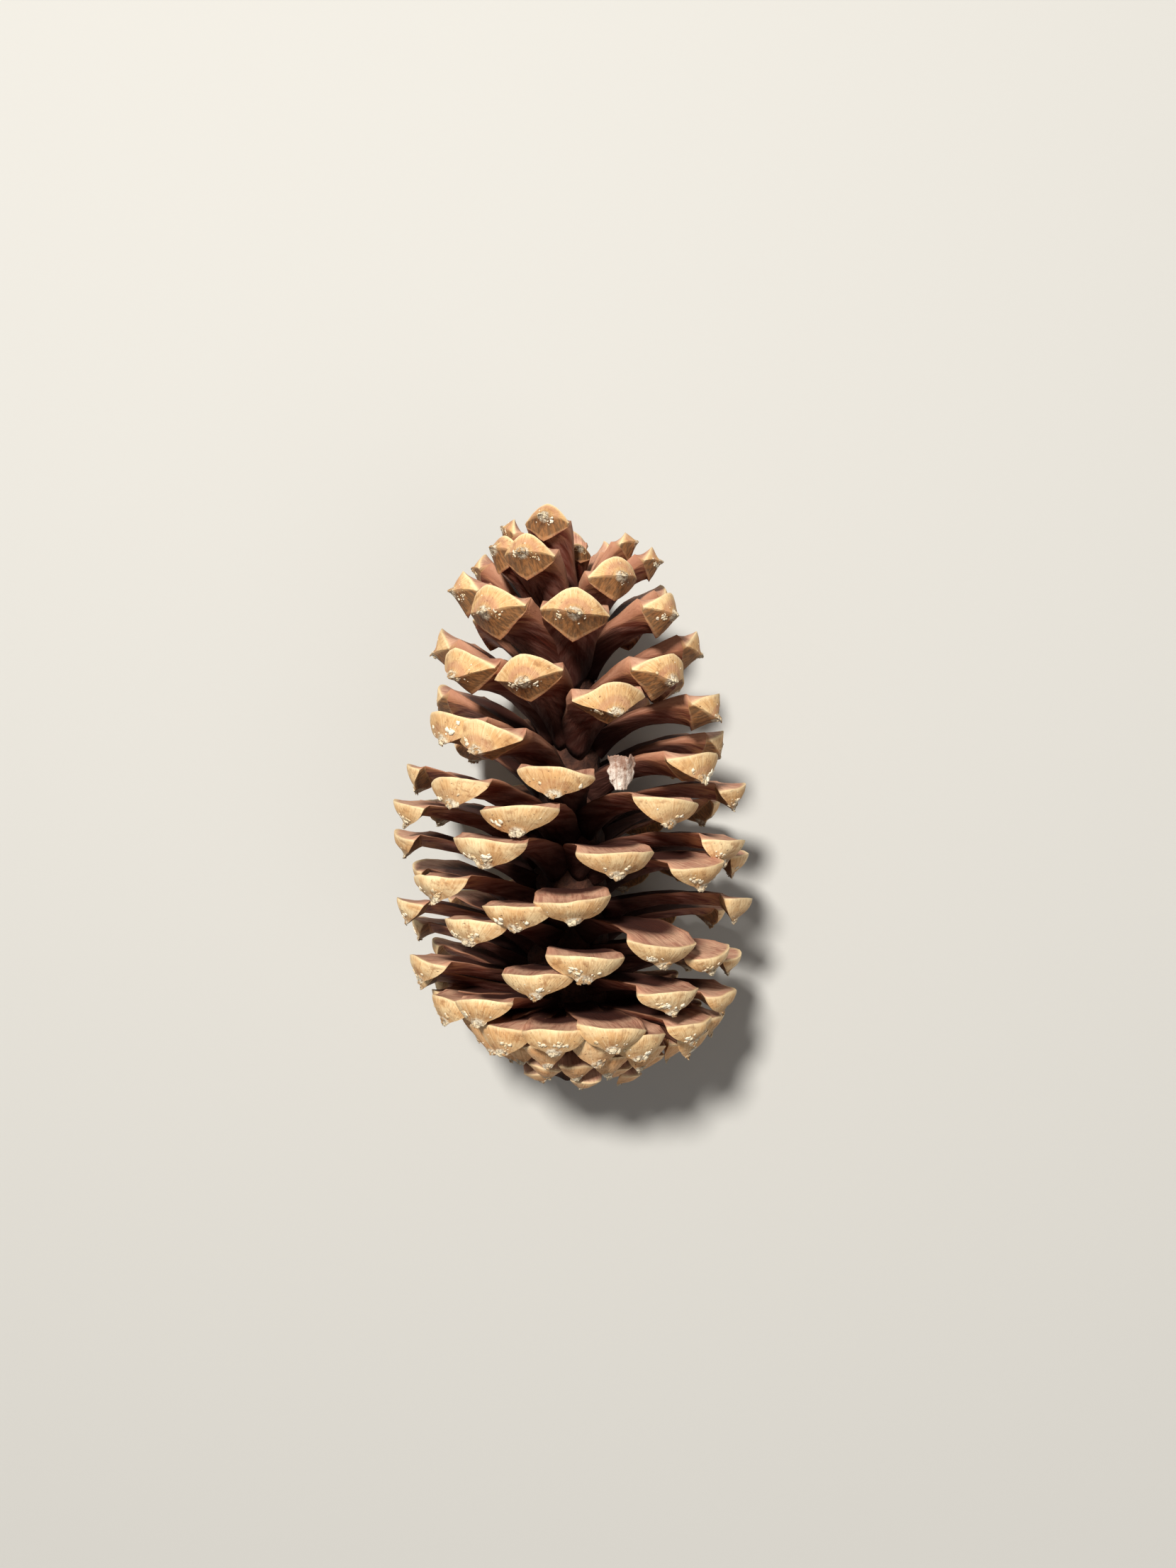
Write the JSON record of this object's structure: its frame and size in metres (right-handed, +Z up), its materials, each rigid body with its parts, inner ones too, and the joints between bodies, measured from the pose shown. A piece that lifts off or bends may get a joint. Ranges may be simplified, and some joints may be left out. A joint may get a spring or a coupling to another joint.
{
  "type": "pine cone",
  "caption": "Open, dry pine cone lying on its side, with spread woody scales, a closed rounded base and the papery wing of a shed seed caught between two scales.",
  "frame": {"origin": "middle of the footprint, at the height of the flats on the lowest scale tips, where the cone meets the surface it lies on", "axes": "+Z up, +Y along the cone's axis towards its apex, +X to the right when the apex points away"},
  "size_m": [0.0606, 0.0962, 0.0595],
  "materials": {
    "cone_wood": "matte dry wood, straw tan scale heads and red-brown stalks",
    "wing_paper": "thin dry papery membrane with brown mottling"
  },
  "bodies": {
    "root": {"pine_cone": "cone_wood", "seed_wing": "wing_paper"}
  },
  "joints": []
}
